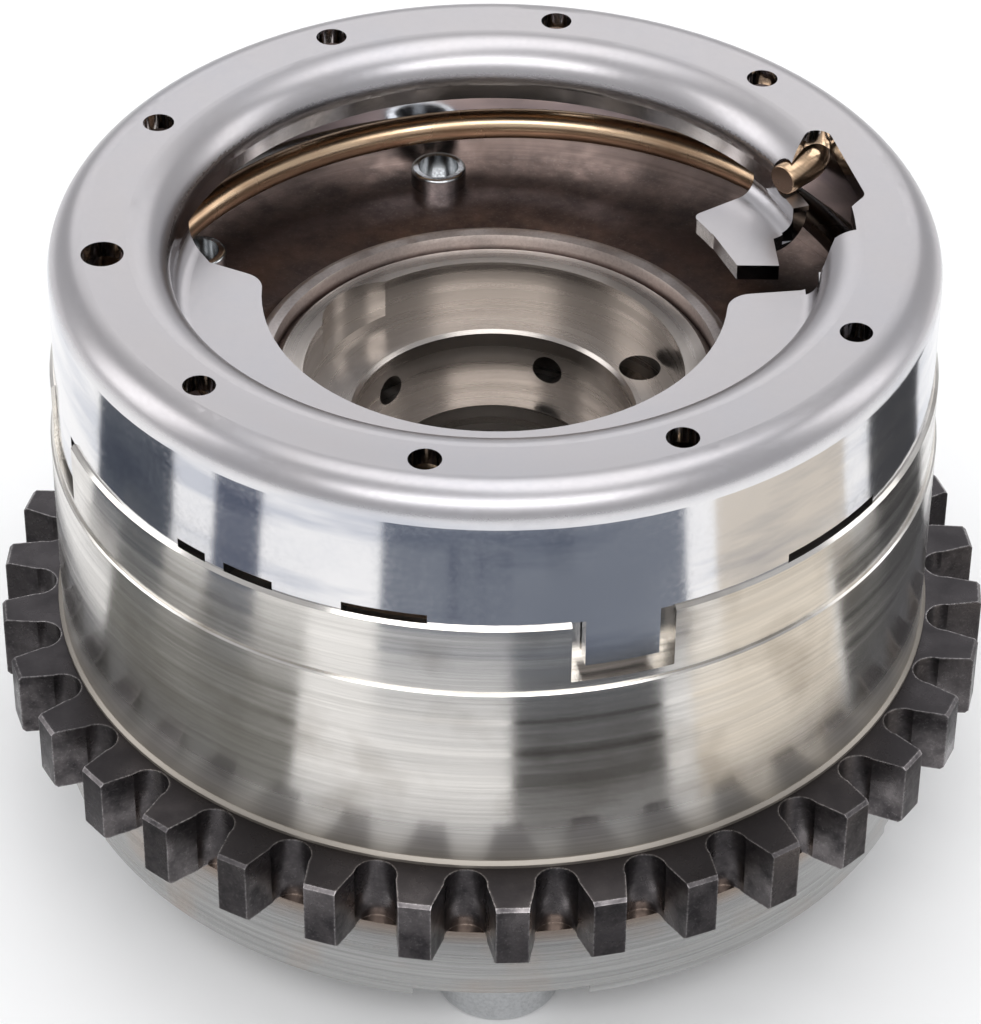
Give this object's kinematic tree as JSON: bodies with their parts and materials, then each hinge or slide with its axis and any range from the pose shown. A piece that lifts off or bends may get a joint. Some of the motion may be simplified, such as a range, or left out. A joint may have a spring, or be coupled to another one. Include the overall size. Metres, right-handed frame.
{
  "type": "camshaft phaser",
  "caption": "Hydraulic vane camshaft phaser: toothed chain sprocket, clamped drum, bored vane rotor, lock pin, and a round wire return spring under a pressed cover.",
  "frame": {"origin": "on the turning axis, at the plane of the outer faces of the clamp bolt heads, on which the part stands", "axes": "+Z along the turning axis, from the camshaft side towards the spring cover; +Y away from the picture's viewer, +X to the viewer's right"},
  "size_m": [0.09, 0.09, 0.061],
  "materials": {
    "cover_steel": "pressed sheet, smooth",
    "drum_steel": "turned and burnished",
    "sintered_steel": "sintered and oiled",
    "plate_steel": "turned bright",
    "brown_steel": "dull brown, heat tinted",
    "spring_wire": "drawn wire, straw tinted",
    "hardened_steel": "ground",
    "rotor_metal": "turned",
    "arm_steel": "pressed, satin",
    "fine_spring_steel": "drawn",
    "zinc_steel": "zinc plated",
    "seal_plastic": "moulded",
    "post_steel": "bright"
  },
  "bodies": {
    "housing": {"spring_cover": "cover_steel", "housing_drum": "drum_steel", "chain_sprocket": "sintered_steel", "rear_plate": "plate_steel", "front_plate": "brown_steel", "bias_spring": "spring_wire", "lock_bush": "hardened_steel", "clamp_bolt_1": "zinc_steel", "clamp_bolt_2": "zinc_steel", "clamp_bolt_3": "zinc_steel", "clamp_bolt_4": "zinc_steel", "clamp_bolt_5": "zinc_steel", "spring_post_1": "post_steel", "spring_post_2": "post_steel"},
    "rotor": {"rotor": "rotor_metal", "spring_arm": "arm_steel", "camshaft_dowel": "hardened_steel", "lock_plug": "hardened_steel", "lock_spring": "fine_spring_steel", "vane_seal_1": "seal_plastic", "vane_seal_2": "seal_plastic", "vane_seal_3": "seal_plastic", "vane_seal_4": "seal_plastic", "vane_seal_5": "seal_plastic", "seal_strip_1": "fine_spring_steel", "seal_strip_2": "fine_spring_steel", "seal_strip_3": "fine_spring_steel", "seal_strip_4": "fine_spring_steel", "seal_strip_5": "fine_spring_steel"},
    "lock_pin": {"lock_pin": "hardened_steel"}
  },
  "joints": [
    {"name": "cam_phase", "type": "hinge", "parent": "housing", "child": "rotor", "pos_m": [0, 0, 0], "axis": [0, 0, 1], "range_deg": [0, 20], "stiffness_Nm_per_rad": 1.1, "springref_deg": -28.65, "deforming": ["bias_spring"]},
    {"name": "lock_pin_slide", "type": "slide", "parent": "rotor", "child": "lock_pin", "axis": [0, 0, 1], "range_m": [0, 0.0025], "stiffness_N_per_m": 1500, "springref_m": -0.003, "deforming": ["lock_spring"]}
  ]
}
